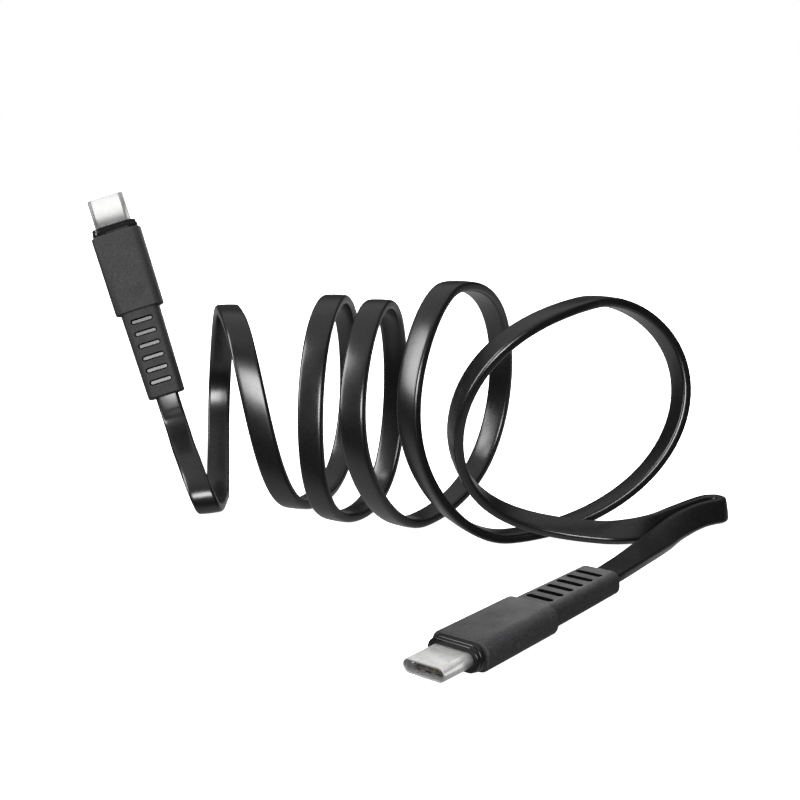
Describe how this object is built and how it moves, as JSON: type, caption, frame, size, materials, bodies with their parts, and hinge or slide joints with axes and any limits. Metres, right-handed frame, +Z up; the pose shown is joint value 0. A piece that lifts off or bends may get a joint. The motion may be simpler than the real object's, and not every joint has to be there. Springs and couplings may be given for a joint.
{
  "type": "charging cable",
  "caption": "Flat black charging cable in open standing turns, with a small reversible plug on each end: metal nose, glossy collar, matte sleeve and windowed strain relief.",
  "frame": {"origin": "bottom centre of the box round the two plugs, on the floor", "axes": "+Z up, +Y away from the viewer of the picture, +X to the viewer's right"},
  "size_m": [0.1387, 0.1247, 0.0668],
  "materials": {
    "shell": "bright nickel plate",
    "carrier": "black moulding",
    "contacts": "gold plate",
    "spring_steel": "bare spring steel",
    "board": "green solder mask",
    "chip": "moulded chip package",
    "cover": "stamped sheet",
    "wire_red": "wire insulation",
    "wire_black": "wire insulation",
    "wire_blue": "wire insulation",
    "wire_green": "wire insulation",
    "wire_white": "wire insulation",
    "collar": "gloss black",
    "sleeve": "fine matte grain",
    "relief": "matte",
    "jacket": "smooth gloss jacket"
  },
  "bodies": {
    "root": {"plug_a_nose_shell": "shell", "plug_a_contact_carrier": "carrier", "plug_a_contacts_upper": "contacts", "plug_a_contacts_lower": "contacts", "plug_a_latch_plate": "spring_steel", "plug_a_ground_spring_upper": "spring_steel", "plug_a_ground_spring_lower": "spring_steel", "plug_a_board": "board", "plug_a_chip": "chip", "plug_a_shield_cover_upper": "cover", "plug_a_shield_cover_lower": "cover", "plug_a_wire_power": "wire_red", "plug_a_wire_ground": "wire_black", "plug_a_wire_sense": "wire_blue", "plug_a_wire_data_a": "wire_green", "plug_a_wire_data_b": "wire_white", "plug_a_crimp_band": "cover", "plug_a_inner_mould": "collar", "plug_a_grip_sleeve": "sleeve", "plug_a_strain_relief": "relief", "plug_a_cable_end": "jacket", "plug_b_nose_shell": "shell", "plug_b_contact_carrier": "carrier", "plug_b_contacts_upper": "contacts", "plug_b_contacts_lower": "contacts", "plug_b_latch_plate": "spring_steel", "plug_b_ground_spring_upper": "spring_steel", "plug_b_ground_spring_lower": "spring_steel", "plug_b_board": "board", "plug_b_chip": "chip", "plug_b_shield_cover_upper": "cover", "plug_b_shield_cover_lower": "cover", "plug_b_wire_power": "wire_red", "plug_b_wire_ground": "wire_black", "plug_b_wire_sense": "wire_blue", "plug_b_wire_data_a": "wire_green", "plug_b_wire_data_b": "wire_white", "plug_b_crimp_band": "cover", "plug_b_inner_mould": "collar", "plug_b_grip_sleeve": "sleeve", "plug_b_strain_relief": "relief", "plug_b_cable_end": "jacket", "cable_jacket": "jacket"}
  },
  "joints": []
}
